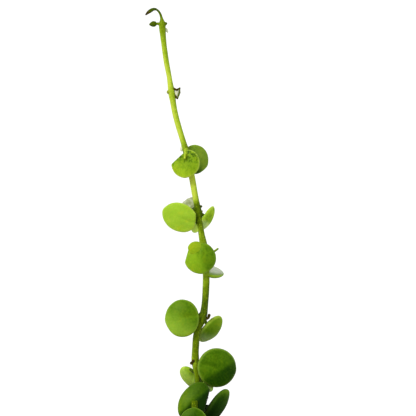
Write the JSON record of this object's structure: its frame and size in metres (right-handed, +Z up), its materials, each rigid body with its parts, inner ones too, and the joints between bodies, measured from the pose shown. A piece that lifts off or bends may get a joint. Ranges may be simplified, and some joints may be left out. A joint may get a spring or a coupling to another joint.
{
  "type": "potted string of nickels",
  "caption": "Climbing house plant with round, fleshy, paired leaves along thin stems, rooted in bark mix in a plain clay pot.",
  "frame": {"origin": "centre of the pot's base, on the surface that it stands on", "axes": "+Z up along the pot's axis, +X to the plant's right as seen from the front, +Y to the back"},
  "size_m": [0.0981, 0.1135, 0.2305],
  "materials": {
    "terracotta": "bare fired clay, matt, with fine pores",
    "bark_mix": "loose bark chips and grit, matt",
    "plant_green": "fleshy leaf, waxy sheen"
  },
  "bodies": {
    "root": {"pot": "terracotta", "bark_mix": "bark_mix", "climbing_shoot": "plant_green", "trailing_shoot_front_left": "plant_green", "trailing_shoot_right": "plant_green", "trailing_shoot_back": "plant_green", "young_shoot_front_right": "plant_green", "young_shoot_back_right": "plant_green", "young_shoot_left": "plant_green"}
  },
  "joints": []
}
